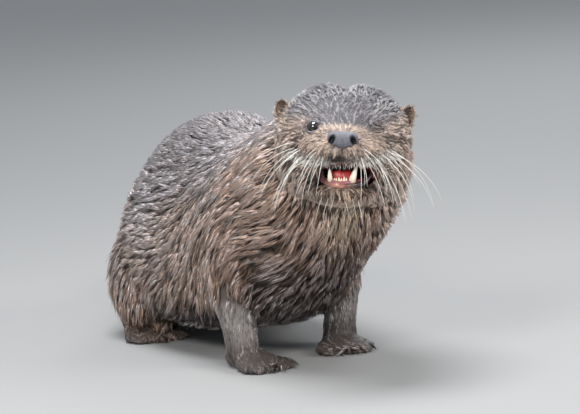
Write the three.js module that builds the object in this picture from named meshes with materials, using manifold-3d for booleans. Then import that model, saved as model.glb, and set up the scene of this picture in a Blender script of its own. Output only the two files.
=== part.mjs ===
// A Eurasian otter, life size and still: it crouches on all four feet with its back arched, its head
// raised and turned to its right, its mouth open, and its tail laid on the ground behind it.
// Millimetres. The trunk heads towards -Y, its left side is +X, and +Z is up. The ground is z = 0.
import * as THREE from 'three';
import { LoftGeometry } from 'three/addons/geometries/LoftGeometry.js';
import { mergeVertices } from 'three/addons/utils/BufferGeometryUtils.js';
import Module from 'manifold-3d';

// ---- Driving dimensions -------------------------------------------------------------------------

const GAP = 0.3; // left between neighbouring parts
const GROUND = 0;
const REACH = 200; // past the animal's side
const MIDDLE = { x: 19, y: 214 }; // centre of the animal's outline on the ground: the part's origin

const HEAD = {
  at: [4, -124, 203], // between the ears, at the height of the nose
  turn: -22.4, // to its right, degrees
  lift: -7, // nose up
  roll: 6.5, // left side down
};

const EYE = { x: 24, y: -54, z: 8.6, radius: 6.4 };
const EAR = { x: 50, y: 3, z: 18, wide: 8, thick: 4.5, tall: 10.5, turn: 30, lean: 20 };
const NOSE = { y: -86.5, z: -1.5, wide: 12.5, deep: 6.5, tall: 7 };
const NOSTRIL = { apart: 8.6, wide: 2.4, deep: 5, tall: 3 };
const WHISKER_PAD = { at: [17, -68, -9.5], half: [18.5, 19, 13] };
const MOUTH_CORNER = { right: [-28, -52, -30], left: [34, -48, -29], half: [12, 15, 10] };
const CANINE = { apart: 9.4, y: -65, z: -40, radius: 2.6, high: 15, lean: 10 };
const INCISOR = { count: 6, apart: 2.3, y: -70, z: -39, radius: 1.4, high: 8, lean: 12 };

const FRONT_FOOT = { long: 42, toe: 20, toeRadius: 4.8, spread: 9, high: 11, sole: 21 };
const HIND_FOOT = { long: 70, toe: 28, toeRadius: 5.2, spread: 7, high: 11, sole: 24 };
const CLAW = { long: 7, radius: 1.6, droop: 12 };
const TOES = 5;

// Where each foot's heel stands: out from the middle line, along the body, and how it is turned.
// `back` is how far the foot stands behind its fellow on the other side.
const SIDES = {
  right: {
    side: -1,
    forefoot: { shape: FRONT_FOOT, out: 49, y: 16, back: 0, turn: 17 },
    hindfoot: { shape: HIND_FOOT, out: 54, y: 262, back: 0, turn: -4 },
  },
  left: {
    side: 1,
    forefoot: { shape: FRONT_FOOT, out: 54, y: 16, back: 34, turn: -12 },
    hindfoot: { shape: HIND_FOOT, out: 54, y: 262, back: 10, turn: 6 },
  },
};
const HIP_HEIGHT = 120; // a leg that stands further back is slanted from this height down

const COAT = {
  back: '#5d5651',
  flank: '#6a5848',
  throat: '#8a7a68',
  face: '#7b6653',
  paw: '#4a4542',
  nose: '#3f4043',
  flesh: '#a85a57',
  eye: '#120f0e',
};

// ---- Body lines ---------------------------------------------------------------------------------
// Each row is one cross-section: x, y, z of its centre, its half width, its height above the centre
// and its depth below it, then how square its upper and lower halves are (2 is an ellipse).

const TRUNK_LINE = [
  [0, 312, 46, 26, 26, 26, 2, 2],
  [0, 299, 52, 44, 38, 38, 2, 2.2],
  [0, 268, 62, 64, 58, 43, 2, 2.5],
  [0, 222, 72, 78, 92, 56, 2, 3.2],
  [0, 175, 80, 82, 113, 65, 2, 3.4],
  [0, 125, 88, 80, 116, 73, 2, 3.4],
  [0, 80, 97, 77, 108, 76, 2, 3],
  [0, 40, 110, 74, 94, 79, 2, 2.6],
  [1, 4, 126, 72, 79, 75, 2, 2.3],
  [4, -32, 144, 71, 70, 70, 2, 2.2],
  [7, -66, 164, 69, 64, 62, 2, 2.2],
  [7, -98, 183, 61, 54, 52, 2, 2.2],
  [5, -122, 196, 46, 40, 38, 2, 2],
];

const TAIL_LINE = [
  [0, 282, 56, 30, 32, 30],
  [0, 312, 42, 31, 30, 34],
  [6, 350, 31, 28, 26, 32],
  [18, 396, 24, 25, 22, 25],
  [36, 450, 19, 21, 18, 20],
  [58, 506, 15, 17, 14, 16],
  [84, 562, 12, 13, 10.5, 12.5],
  [110, 612, 8.5, 9, 7.5, 9],
  [124, 638, 5.5, 5, 4.5, 6],
];

const HEAD_LINE = [
  [0, 66, -24, 24, 22, 24, 2, 2],
  [0, 46, -16, 44, 40, 38, 2.2, 2.3],
  [0, 20, -12, 56, 54, 46, 2.4, 2.8],
  [0, -6, -11, 56, 53, 43, 2.4, 3],
  [0, -30, -8, 51, 44, 35, 2.3, 2.8],
  [0, -48, -6, 43.5, 31, 26, 2.1, 2.4],
  [0, -64, -6, 34, 20, 18, 2, 2.2],
  [0, -78, -7, 26, 13.5, 14.5, 2, 2],
  [0, -86, -7.5, 18, 10, 12, 2, 2],
  [0, -90, -7.5, 9, 6, 8, 2, 2],
];

const JAW_LINE = [
  [0, 8, -40, 38, 8, 18],
  [0, -22, -42, 31, 6, 15],
  [0, -44, -42.5, 24, 5, 12.5],
  [0, -60, -43, 17, 5.5, 10],
  [0, -70, -43.5, 12.5, 5.5, 8],
  [0, -75, -43.5, 7, 4, 5],
];

const MOUTH_LINE = [
  [4, -104, -30, 30, 8, 8],
  [4, -74, -30, 23, 8, 8],
  [4, -52, -31, 23, 8, 7.5],
  [4, -36, -33, 20, 5.5, 6.5],
  [3, -16, -35, 14, 3, 4],
];

const TONGUE_LINE = [
  [2, -32, -36, 7.4, 2, 2.8],
  [1, -44, -33.5, 11.5, 3.6, 6],
  [1, -57, -31.5, 11, 6, 7],
  [1, -65, -32, 7.5, 5, 5],
];

// On the legs, the first number is how far the centre lies inward of the heel.
const FORELEG_LINE = [
  [19, 44, 150, 16, 20, 16],
  [10, 34, 122, 25, 30, 22],
  [3, 27, 92, 25, 29, 23],
  [0, 21, 66, 20.5, 22, 21],
  [0, 15, 46, 16.5, 16, 17],
  [1, 11, 28, 14.5, 14, 15],
  [1, 8, 10, 14.5, 15, 15],
];

const THIGH_LINE = [
  [20, 244, 104, 20, 26, 26],
  [11, 234, 80, 32, 44, 42],
  [4, 222, 54, 36, 56, 50],
  [2, 210, 30, 33, 48, 40],
  [2, 204, 12, 26, 34, 32],
];

const SHANK_LINE = [
  [-2, 186, 34, 19, 22, 24],
  [-3, 215, 28, 19, 22, 22],
  [-2, 244, 22, 17, 20, 18],
  [0, 268, 15, 13, 14, 14],
];

// ---- Making solids ------------------------------------------------------------------------------

const wasm = await Module();
wasm.setup();

const UP = new THREE.Vector3(0, 0, 1);
const FORWARD = new THREE.Vector3(0, -1, 0);
const radians = THREE.MathUtils.degToRad;

function solid(geometry) {
  const bare = new THREE.BufferGeometry();
  bare.setAttribute('position', geometry.getAttribute('position'));
  bare.setIndex(geometry.getIndex());
  const merged = mergeVertices(bare, 1e-4);
  return new wasm.Manifold(
    new wasm.Mesh({
      numProp: 3,
      vertProperties: new Float32Array(merged.attributes.position.array),
      triVerts: new Uint32Array(merged.index.array),
    }),
  );
}

function geometryOf(body) {
  const mesh = body.getMesh();
  const geometry = new THREE.BufferGeometry();
  geometry.setAttribute('position', new THREE.BufferAttribute(mesh.vertProperties, 3));
  geometry.setIndex(new THREE.BufferAttribute(mesh.triVerts, 1));
  geometry.computeVertexNormals();
  return geometry;
}

const join = (bodies) => bodies.reduce((all, one) => all.add(one));
const channel = (line, ...columns) => columns.map((c) => line.map((row) => row[c] ?? 2));

function curveThrough(xs, ys, zs) {
  const points = xs.map((x, i) => new THREE.Vector3(x, ys[i], zs[i]));
  return new THREE.CatmullRomCurve3(points, false, 'catmullrom', 0.5);
}

// A point on a rounded rectangle of half sizes 1: an ellipse at squareness 2.
const rounded = (value, squareness) => Math.sign(value) * Math.abs(value) ** (2 / squareness);

// A body swept along a line of cross-sections. `up` is the direction that heights are measured in,
// and `grow` makes every section larger by that much.
function sweep(line, { steps, sides, up = UP, grow = 0 }) {
  const path = curveThrough(...channel(line, 0, 1, 2));
  const size = curveThrough(...channel(line, 3, 4, 5));
  const squareness = curveThrough(...channel(line, 6, 7, 7));
  const sections = [];
  for (let step = 0; step <= steps; step++) {
    const t = step / steps;
    const centre = path.getPoint(t);
    const half = size.getPoint(t);
    const square = squareness.getPoint(t);
    const ahead = path.getTangent(t);
    const side = new THREE.Vector3().crossVectors(up, ahead).normalize();
    const top = new THREE.Vector3().crossVectors(ahead, side);
    const ring = [];
    for (let i = 0; i < sides; i++) {
      const angle = (i / sides) * 2 * Math.PI;
      const above = Math.sin(angle) > 0;
      const power = above ? square.x : square.y;
      const across = (half.x + grow) * rounded(Math.cos(angle), power);
      const rise = ((above ? half.y : half.z) + grow) * rounded(Math.sin(angle), power);
      ring.push(centre.clone().addScaledVector(side, across).addScaledVector(top, rise));
    }
    sections.push(ring);
  }
  return new LoftGeometry(sections, { closed: true, capStart: true, capEnd: true });
}

function ellipsoid([x, y, z], halfSizes, { around = 12, down = 6, grow = 0 } = {}) {
  const [a, b, c] = halfSizes.map((half) => half + grow);
  return new THREE.SphereGeometry(1, around, down).rotateX(Math.PI / 2).scale(a, b, c).translate(x, y, z);
}

// The two sides of a plane through `point`, ahead and behind along `normal`, with the gap between.
function halves(body, point, normal) {
  const n = normal.clone().normalize();
  const offset = n.dot(point);
  return [
    body.trimByPlane(n.toArray(), offset + GAP / 2),
    body.trimByPlane(n.clone().negate().toArray(), GAP / 2 - offset),
  ];
}

const aboveGround = (body) => body.trimByPlane([0, 0, 1], GROUND);

// ---- Head, in its own frame: nose towards -Y, origin between the ears ---------------------------

const headFrame = new THREE.Matrix4()
  .makeTranslation(...HEAD.at)
  .multiply(new THREE.Matrix4().makeRotationZ(radians(HEAD.turn)))
  .multiply(new THREE.Matrix4().makeRotationX(radians(HEAD.lift)))
  .multiply(new THREE.Matrix4().makeRotationY(radians(HEAD.roll)));

const headSolid = (geometry) => solid(geometry.applyMatrix4(headFrame));

// The face without the lower jaw: a wide flat skull with a whisker pad on each side of the nose, and
// the cheeks that hang down to the corners of the mouth.
function face(grow = 0) {
  const [x, y, z] = WHISKER_PAD.at;
  const pads = [-1, 1].map((side) => ellipsoid([side * x, y, z], WHISKER_PAD.half, { grow }));
  const cheeks = [MOUTH_CORNER.right, MOUTH_CORNER.left].map((at) =>
    ellipsoid(at, MOUTH_CORNER.half, { around: 8, down: 4, grow }),
  );
  return join([sweep(HEAD_LINE, { steps: 12, sides: 22, grow }), ...pads, ...cheeks].map(headSolid));
}

const jaw = (grow = 0) => headSolid(sweep(JAW_LINE, { steps: 6, sides: 13, grow }));
const mouth = () => headSolid(sweep(MOUTH_LINE, { steps: 5, sides: 14 }));
const tongue = () => headSolid(sweep(TONGUE_LINE, { steps: 5, sides: 8 }));

// A tooth is a cone that leans forward, its root in the gum.
function tooth({ y, z, radius, high, lean }, x, back = 0) {
  return headSolid(
    new THREE.ConeGeometry(radius, high, 6)
      .rotateX(Math.PI / 2)
      .translate(0, 0, high / 2)
      .rotateX(radians(lean))
      .translate(x, y + back, z),
  );
}

function lowerTeeth() {
  const teeth = [-1, 1].map((side) => tooth(CANINE, side * CANINE.apart));
  for (let i = 0; i < INCISOR.count; i++) {
    const x = (i - (INCISOR.count - 1) / 2) * INCISOR.apart;
    teeth.push(tooth(INCISOR, x, (x * x) / 16));
  }
  return join(teeth);
}

function ear(side) {
  const { wide, thick, tall } = EAR;
  const place = new THREE.Matrix4()
    .makeTranslation(side * EAR.x, EAR.y, EAR.z)
    .multiply(new THREE.Matrix4().makeRotationZ(radians(side * EAR.turn)))
    .multiply(new THREE.Matrix4().makeRotationY(radians(side * EAR.lean)));
  const shell = ellipsoid([0, 0, 0], [wide, thick, tall], { around: 10 });
  const hollowSize = [wide * 0.6, thick * 0.9, tall * 0.6];
  const hollow = ellipsoid([0, -thick, tall * 0.15], hollowSize, { around: 8, down: 4 });
  return headSolid(shell.applyMatrix4(place)).subtract(headSolid(hollow.applyMatrix4(place)));
}

function eyeball(side, grow = 0) {
  const { x, y, z, radius } = EYE;
  return headSolid(ellipsoid([side * x, y, z], [radius, radius, radius], { around: 10, grow }));
}

function nosePad() {
  const { y, z, wide, deep, tall } = NOSE;
  return headSolid(ellipsoid([0, y, z], [wide, deep, tall]));
}

function nostril(side) {
  const { apart, wide, deep, tall } = NOSTRIL;
  const at = [side * apart, NOSE.y - NOSE.deep, NOSE.z];
  return headSolid(ellipsoid(at, [wide, deep, tall], { around: 6, down: 4 }));
}

// ---- Legs ---------------------------------------------------------------------------------------

// A foot is a flat pad that widens to five webbed toes, each with a claw. Its heel is at (x, y) and it
// points along -Y before it is turned.
function foot(side, { shape: { long, toe, toeRadius, spread, high, sole }, out, y, back, turn }) {
  const place = new THREE.Matrix4()
    .makeTranslation(side * out, y + back, GROUND)
    .multiply(new THREE.Matrix4().makeRotationZ(radians(turn)));
  const pad = [
    [0, 10, high * 0.8, sole * 0.4, high * 0.6, high],
    [0, -2, high * 0.9, sole * 0.58, high * 1, high * 1.1],
    [0, -long * 0.45, high * 0.7, sole * 0.8, high * 0.75, high],
    [0, -long * 0.8, high * 0.5, sole, high * 0.5, high],
    [0, -long - toe * 0.3, high * 0.3, sole * 1.06, high * 0.25, high * 0.6],
    [0, -long - toe * 0.5, high * 0.2, sole * 0.9, 1, high * 0.4],
  ];
  const pieces = [sweep(pad, { steps: 4, sides: 8 })];
  for (let i = 0; i < TOES; i++) {
    const across = i - (TOES - 1) / 2;
    const reach = toe * (1.15 - Math.abs(across) * 0.12);
    const fan = new THREE.Matrix4()
      .makeTranslation(across * sole * 0.4, across * across * 2.2 - long * 0.75, 0)
      .multiply(new THREE.Matrix4().makeRotationZ(radians(across * spread)));
    const r = toeRadius;
    const digit = [
      [0, 4, r, r * 0.9, r * 0.9, r],
      [0, -reach * 0.7, r * 0.85, r, r * 0.9, r],
      [0, -reach * 1.1, r * 0.6, r * 0.6, r * 0.6, r * 0.6],
    ];
    const claw = new THREE.ConeGeometry(CLAW.radius, CLAW.long, 4)
      .rotateX(Math.PI + radians(CLAW.droop))
      .translate(0, -reach * 1.1 - CLAW.long * 0.3, r * 0.75);
    pieces.push(sweep(digit, { steps: 2, sides: 5 }).applyMatrix4(fan), claw.applyMatrix4(fan));
  }
  return aboveGround(join(pieces.map((piece) => solid(piece.applyMatrix4(place)))));
}

function limb(line, side, { out, back }, sides, up = FORWARD) {
  const slanted = line.map(([inward, y, z, ...size]) => {
    const share = THREE.MathUtils.clamp(1 - z / HIP_HEIGHT, 0, 1);
    return [side * (out - inward), y + back * share, z, ...size];
  });
  return solid(sweep(slanted, { steps: line.length, sides, up }));
}

function legs({ side, forefoot, hindfoot }) {
  return join([
    limb(FORELEG_LINE, side, forefoot, 12),
    limb(THIGH_LINE, side, hindfoot, 12),
    limb(SHANK_LINE, side, hindfoot, 10, UP),
  ]);
}

const feet = ({ side, forefoot, hindfoot }) => foot(side, forefoot).add(foot(side, hindfoot));

// ---- The whole animal, then its parts -----------------------------------------------------------

const look = (color, roughness = 0.8) => new THREE.MeshStandardMaterial({ color, roughness, metalness: 0 });

const otter = new THREE.Group();
function addPart(name, body, finish) {
  const mesh = new THREE.Mesh(geometryOf(body), finish);
  mesh.name = name;
  otter.add(mesh);
}

const trunk = (grow = 0) => solid(sweep(TRUNK_LINE, { steps: 16, sides: 20, grow }));
const tail = solid(sweep(TAIL_LINE, { steps: 12, sides: 10 }));
const limbs = Object.values(SIDES).flatMap((body) => [legs(body), feet(body)]);
let rest = aboveGround(join([trunk(), tail, face(), ...limbs]));

// Takes what lies in a region out of the rest of the body; `region` makes it larger by its argument.
function takeOut(region) {
  const taken = rest.intersect(region(0));
  rest = rest.subtract(region(GAP));
  return taken;
}

// Cuts the rest of the body at a plane and takes what lies ahead of it.
function cutOff(point, direction) {
  const [ahead, behind] = halves(rest, point, direction);
  rest = behind;
  return ahead;
}

const block = ([x0, y0, z0], [x1, y1, z1]) => (grow) =>
  solid(
    new THREE.BoxGeometry(x1 - x0 + 2 * grow, y1 - y0 + 2 * grow, z1 - z0 + 2 * grow).translate(
      (x0 + x1) / 2,
      (y0 + y1) / 2,
      (z0 + z1) / 2,
    ),
  );

// A round region that reaches outward from `inner` on one side of the body.
const roundRegion = (side, inner, [y, z], [halfLength, halfHeight]) => (grow) => {
  const long = REACH - inner + grow;
  return solid(
    new THREE.CylinderGeometry(1, 1, long, 14)
      .rotateZ(Math.PI / 2)
      .scale(1, halfLength + grow, halfHeight + grow)
      .translate(side * (inner - grow + long / 2), y, z),
  );
};

const sideBlock = (side, inner, [y0, z0], [y1, z1]) =>
  side > 0 ? block([inner, y0, z0], [REACH, y1, z1]) : block([-REACH, y0, z0], [-inner, y1, z1]);

for (const [name, { side, forefoot }] of Object.entries(SIDES)) {
  const { back } = forefoot;
  addPart('forefoot_' + name, takeOut(sideBlock(side, 8, [-80, -5], [50 + back, 20])), look(COAT.paw, 0.6));
  addPart('forearm_' + name, takeOut(sideBlock(side, 27, [-24, 19], [46 + back, 54])), look(COAT.paw));
  addPart('hindfoot_' + name, takeOut(sideBlock(side, 12, [120, -5], [300, 14])), look(COAT.paw, 0.6));
  addPart('shank_' + name, takeOut(sideBlock(side, 32, [172, 10], [286, 40])), look(COAT.flank));
  const shoulder = roundRegion(side, 30, [27 + back * 0.3, 82], [38, 60]);
  addPart('upper_arm_' + name, takeOut(shoulder), look(COAT.flank));
  addPart('thigh_' + name, takeOut(roundRegion(side, 34, [218, 70], [56, 62])), look(COAT.flank));
}

const tailPath = curveThrough(...channel(TAIL_LINE, 0, 1, 2));
[0.86, 0.66, 0.44, 0.16].forEach((share, i, all) => {
  const piece = cutOff(tailPath.getPoint(share), tailPath.getTangent(share));
  addPart('tail_' + (all.length - i), piece, look(COAT.back));
});

const headward = new THREE.Vector3(0, -1, 0).transformDirection(headFrame);
const nape = new THREE.Vector3(0, 30, 0).applyMatrix4(headFrame);
let head = cutOff(nape, headward);
const withers = new THREE.Vector3(0, -12, 134);
addPart('neck', cutOff(withers, new THREE.Vector3(0, -0.9, 0.44)), look(COAT.throat));
addPart('chest', cutOff(new THREE.Vector3(0, 88, 96), FORWARD), look(COAT.flank));
addPart('loin', cutOff(new THREE.Vector3(0, 186, 80), FORWARD), look(COAT.back));
addPart('rump', rest, look(COAT.back));

head = head.subtract(mouth());
for (const [name, { side }] of Object.entries(SIDES)) {
  head = head.subtract(eyeball(side, GAP));
  addPart('eye_' + name, eyeball(side), look(COAT.eye, 0.05));
  addPart('ear_' + name, ear(side).subtract(face(GAP)), look(COAT.face));
}
addPart('head', head, look(COAT.face));
const lowerJaw = jaw().add(lowerTeeth()).subtract(face(GAP)).subtract(trunk(GAP));
addPart('lower_jaw', lowerJaw, look(COAT.face));
addPart('tongue', tongue().subtract(jaw(GAP)), look(COAT.flesh, 0.4));
const nose = nosePad().subtract(face(GAP)).subtract(nostril(-1)).subtract(nostril(1));
addPart('nose', nose, look(COAT.nose, 0.5));

otter.position.set(-MIDDLE.x, -MIDDLE.y, 0);

export default otter;
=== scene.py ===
import math

import bmesh
import bpy
import numpy as np
from mathutils import Matrix, Vector


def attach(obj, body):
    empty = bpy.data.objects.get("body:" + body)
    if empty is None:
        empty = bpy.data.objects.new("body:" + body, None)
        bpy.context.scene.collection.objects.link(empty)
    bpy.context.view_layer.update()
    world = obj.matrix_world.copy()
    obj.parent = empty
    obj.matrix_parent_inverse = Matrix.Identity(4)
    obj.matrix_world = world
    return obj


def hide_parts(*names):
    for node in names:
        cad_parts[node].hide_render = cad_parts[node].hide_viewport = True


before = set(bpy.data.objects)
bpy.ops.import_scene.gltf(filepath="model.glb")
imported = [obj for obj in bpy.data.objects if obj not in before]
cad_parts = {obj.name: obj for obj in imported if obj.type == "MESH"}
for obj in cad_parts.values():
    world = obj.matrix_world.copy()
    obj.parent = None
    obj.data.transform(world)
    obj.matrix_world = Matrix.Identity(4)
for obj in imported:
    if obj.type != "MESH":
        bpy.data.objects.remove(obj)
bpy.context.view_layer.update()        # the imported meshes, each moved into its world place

mm = 0.001

view = {
    "target": (-0.0132, -0.1994, 0.1302),
    "azimuth": -21.0,
    "elevation": 8.0,
    "roll": 4.0,
    "distance": 4.0,
    "lens": 293.0,
    "farthest": 100,
}


def linked(name, data):
    piece = bpy.data.objects.new(name, data)
    bpy.context.scene.collection.objects.link(piece)
    return piece


def addCamera():
    # The camera looks back along a ray that leaves the target at an azimuth and an elevation.
    a, e, r = (math.radians(view[k]) for k in ("azimuth", "elevation", "roll"))
    back = Vector((math.sin(a) * math.cos(e), -math.cos(a) * math.cos(e), math.sin(e)))
    level = Vector((math.cos(a), math.sin(a), 0))
    upright = back.cross(level)
    right = math.cos(r) * level - math.sin(r) * upright
    up = math.sin(r) * level + math.cos(r) * upright
    data = bpy.data.cameras.new("camera")
    data.lens = view["lens"]
    data.clip_end = view["farthest"]
    camera = linked("camera", data)
    place = Vector(view["target"]) + back * view["distance"]
    camera.matrix_world = Matrix.Translation(place) @ Matrix((right, up, back)).transposed().to_4x4()
    bpy.context.scene.camera = camera


studio = {
    "floorSize": 60.0,
    "floorColor": (0.3, 0.297, 0.292),
    "floorRoughness": 0.9,
    "skyColor": (0.86, 0.92, 1.0),
    "skyStrength": 0.6,
    # name: place, aim, width, power, colour
    "lights": {
        "overhead": ((-0.3, -0.35, 1.7), (0, -0.1, 0.1), 0.9, 36, (0.95, 0.97, 1.0)),
        "window": ((-1.7, -2.0, 1.5), (0, -0.2, 0.12), 0.7, 46, (1.0, 0.98, 0.95)),
        "rim": ((1.3, 1.6, 1.3), (0, 0, 0.12), 1.0, 12, (0.93, 0.96, 1.0)),
        "fill": ((1.3, -1.9, 1.0), (0, -0.25, 0.12), 0.9, 27, (1.0, 0.98, 0.96)),
    },
}


def addStudio():
    floorMesh = bpy.data.meshes.new("floor")
    s = studio["floorSize"] / 2
    floorMesh.from_pydata([(-s, -s, 0), (s, -s, 0), (s, s, 0), (-s, s, 0)], [], [(0, 1, 2, 3)])
    paint = bpy.data.materials.new("floor paint")
    paint.use_nodes = True
    shader = paint.node_tree.nodes["Principled BSDF"]
    shader.inputs["Base Color"].default_value = (*studio["floorColor"], 1)
    shader.inputs["Roughness"].default_value = studio["floorRoughness"]
    floorMesh.materials.append(paint)
    linked("floor", floorMesh)
    for name, (place, aim, width, power, color) in studio["lights"].items():
        data = bpy.data.lights.new(name, "AREA")
        data.shape = "DISK"
        data.size = width
        data.energy = power
        data.color = color
        light = linked(name, data)
        light.location = place
        light.rotation_euler = (Vector(aim) - Vector(place)).to_track_quat("-Z", "Y").to_euler()
    world = bpy.data.worlds.new("sky")
    bpy.context.scene.world = world
    world.use_nodes = True
    sky = world.node_tree.nodes["Background"]
    sky.inputs["Color"].default_value = (*studio["skyColor"], 1)
    sky.inputs["Strength"].default_value = studio["skyStrength"]
    bpy.context.scene.view_settings.view_transform = "Standard"


addCamera()
addStudio()
print("view, floor and light ready")


def mix(first, second, share):
    return first * (1 - share) + second * share


def unit(v):
    return v / np.maximum(np.linalg.norm(v, axis=-1, keepdims=True), 1e-12)


def ramp(value, low, high):
    # Rises smoothly from 0 at low to 1 at high: 3 t squared minus 2 t cubed.
    t = np.clip((value - low) / (high - low), 0, 1)
    return t * t * (3 - 2 * t)


def bell(value, width):
    return np.exp(-(value / width) ** 2)


def bump(points, centre, radius):
    # 1 at the centre and fading with the distance over the radius as a bell curve.
    away = (points - np.asarray(centre)) / np.asarray(radius)
    return np.exp(-(away ** 2).sum(-1))


def twoBumps(points, centre, radius):
    # One on either side of the head.
    return sum(bump(points, np.array(centre) * (side, 1, 1), radius) for side in (-1, 1))


def ripple(points, size, seed):
    # A smooth random field from -1 to 1: the mean of eight sine waves with seeded directions.
    draw = np.random.default_rng(seed)
    waves = draw.normal(size=(8, 3)) * (2 * np.pi / size) * 0.6
    phase = draw.uniform(0, 2 * np.pi, 8)
    return np.sin(points @ waves.T + phase).mean(-1) * 1.6


def ripples(points, size, seeds):
    return np.stack([ripple(points, size, seed) for seed in seeds], -1)


def grain(points, size, seed, cells=32):
    # Random values on a grid of the given size, blended between the eight corners around a point.
    table = np.random.default_rng(seed).normal(size=(cells, cells, cells))
    place = points / size
    low = np.floor(place).astype(int)
    share = ramp(place - low, 0, 1)
    total = np.zeros(points.shape[:-1])
    for corner in np.ndindex(2, 2, 2):
        weight = np.where(np.array(corner) == 1, share, 1 - share).prod(-1)
        cell = (low + corner) % cells
        total += weight * table[cell[..., 0], cell[..., 1], cell[..., 2]]
    return total


def streaks(points, lie, size, reach=2.6, seed=51):
    # The mean of the grain along a straight line through each point, so that it runs with the hair.
    steps = np.linspace(-reach, reach, 11)[:, None, None] * size
    values = grain(points + steps * lie, size, seed).mean(0)
    return values / values.std()


def smoothRows(rows, shares):
    # Each span between two rows is a cubic; its end slopes are half the step between the rows around.
    rows = np.vstack([2 * rows[0] - rows[1], rows, 2 * rows[-1] - rows[-2]])
    place = np.clip(shares, 0, 1) * (len(rows) - 3)
    first = np.minimum(place.astype(int), len(rows) - 4)
    t = (place - first)[:, None]
    a, b, c, d = (rows[first + i] for i in range(4))
    return b + 0.5 * t * ((c - a) + t * ((2 * a - 5 * b + 4 * c - d) + t * (3 * (b - c) + d - a)))


def fullRows(rows):
    # A squareness of 2, an ellipse, where the rows give none.
    return np.array([list(row) + [2, 2][len(row) - 6:] for row in rows], float)


def pathFrame(rows, shares, up, step=0.002):
    # Centre, tangent (a small difference), sideways and upward directions, and half sizes on the path.
    centre = smoothRows(rows[:, :3], shares)
    ahead = unit(smoothRows(rows[:, :3], shares + step) - smoothRows(rows[:, :3], shares - step))
    side = unit(np.cross(up, ahead))
    return centre, ahead, side, np.cross(ahead, side), smoothRows(rows[:, 3:], shares)


def fullTurn(steps):
    return np.linspace(0, 2 * np.pi, steps, endpoint=False)[None]


def power(wave, exponent):
    # The wave keeps its sign.
    return np.sign(wave) * np.abs(wave) ** exponent


def tube(rows, along, around, up=(0, 0, 1)):
    # A ring of a rounded rectangle at each share of the path: across is width times cos to the power
    # 2 / squareness, and rise is height (or depth, below the middle) times sin to that power.
    centre, _, side, top, half = pathFrame(fullRows(rows), np.linspace(0, 1, along), up)
    half = half[:, :, None]
    angle = fullTurn(around)
    above = np.sin(angle) > 0
    exponent = 2 / np.where(above, half[:, 3], half[:, 4])
    across = half[:, 0] * power(np.cos(angle), exponent)
    rise = np.where(above, half[:, 1], half[:, 2]) * power(np.sin(angle), exponent)
    return centre[:, None] + across[..., None] * side[:, None] + rise[..., None] * top[:, None]


def cord(line, radius, along, around, up):
    # A tube with a round section of the radius given at each point of the line.
    radius = np.reshape(radius, (-1, 1))
    return tube(np.hstack([line, radius, radius, radius]), along, around, up)


def ball(along, around, centre=0, half=1):
    # Rings of latitude: radius sin v and height cos v, stretched to three half sizes.
    v = np.linspace(0.02, np.pi - 0.02, along)[:, None]
    u = fullTurn(around)
    shape = np.stack([np.sin(v) * np.cos(u), np.sin(v) * np.sin(u), -np.cos(v) + 0 * u], -1)
    return np.asarray(centre) + shape * np.asarray(half)


def gridFaces(along, around, start):
    # Quads between neighbouring rings, closed round, and a fan to a pole at either end.
    i, j = np.meshgrid(np.arange(along - 1), np.arange(around), indexing="ij")
    k = (j + 1) % around
    quads = np.stack([i * around + j, i * around + k, (i + 1) * around + k, (i + 1) * around + j], -1)
    j, k = j[0], k[0]
    low, base = along * around, (along - 1) * around
    fans = [np.stack([0 * j + low, k, j], -1), np.stack([0 * j + low + 1, base + j, base + k], -1)]
    return quads.reshape(-1, 4) + start, np.vstack(fans) + start


def reshape(mesh, change):
    # Works a change into the mesh in its editable form.
    shape = bmesh.new()
    shape.from_mesh(mesh)
    change(shape)
    shape.to_mesh(mesh)
    shape.free()
    mesh.update()


def turnOutward(piece):
    reshape(piece.data, lambda shape: bmesh.ops.recalc_face_normals(shape, faces=shape.faces))
    return piece


def meshObject(name, points, quads, triangles):
    mesh = bpy.data.meshes.new(name)
    mesh.vertices.add(len(points))
    mesh.vertices.foreach_set("co", np.ascontiguousarray(points, dtype=np.float32).ravel())
    corners = np.concatenate([quads.ravel(), triangles.ravel()]).astype(np.int32)
    mesh.loops.add(len(corners))
    mesh.loops.foreach_set("vertex_index", corners)
    counts = np.concatenate([np.full(len(quads), 4), np.full(len(triangles), 3)])
    mesh.polygons.add(len(counts))
    mesh.polygons.foreach_set("loop_start", (np.cumsum(counts) - counts).astype(np.int32))
    mesh.polygons.foreach_set("use_smooth", np.ones(len(counts), bool))
    mesh.update(calc_edges=True)
    return turnOutward(linked(name, mesh))


def gridsObject(name, grids):
    # Several closed grids of rings as one mesh, each with its poles at the middle of its end rings.
    points, quads, triangles, start = [], [], [], 0
    for grid in grids:
        along, around = grid.shape[:2]
        points += [grid.reshape(-1, 3), grid[0].mean(0)[None], grid[-1].mean(0)[None]]
        q, t = gridFaces(along, around, start)
        quads.append(q)
        triangles.append(t)
        start += along * around + 2
    return meshObject(name, np.vstack(points), np.vstack(quads), np.vstack(triangles))


def readOut(items, what, width, kind=np.int32):
    values = np.empty(len(items) * width, kind)
    items.foreach_get(what, values)
    return values.reshape(-1, width)


def pointsOf(mesh, what="co"):
    return readOut(mesh.vertices, what, 3, np.float32).astype(float)


def movePoints(mesh, points):
    mesh.vertices.foreach_set("co", points.astype(np.float32).ravel())
    mesh.update()


# Taken off every place, so that the animal stands over the origin.
middle = np.array([19.0, 214.0, 0.0])

# Rows in millimetres: x, y, z, half width, height, depth, and squareness above and below.

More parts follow.
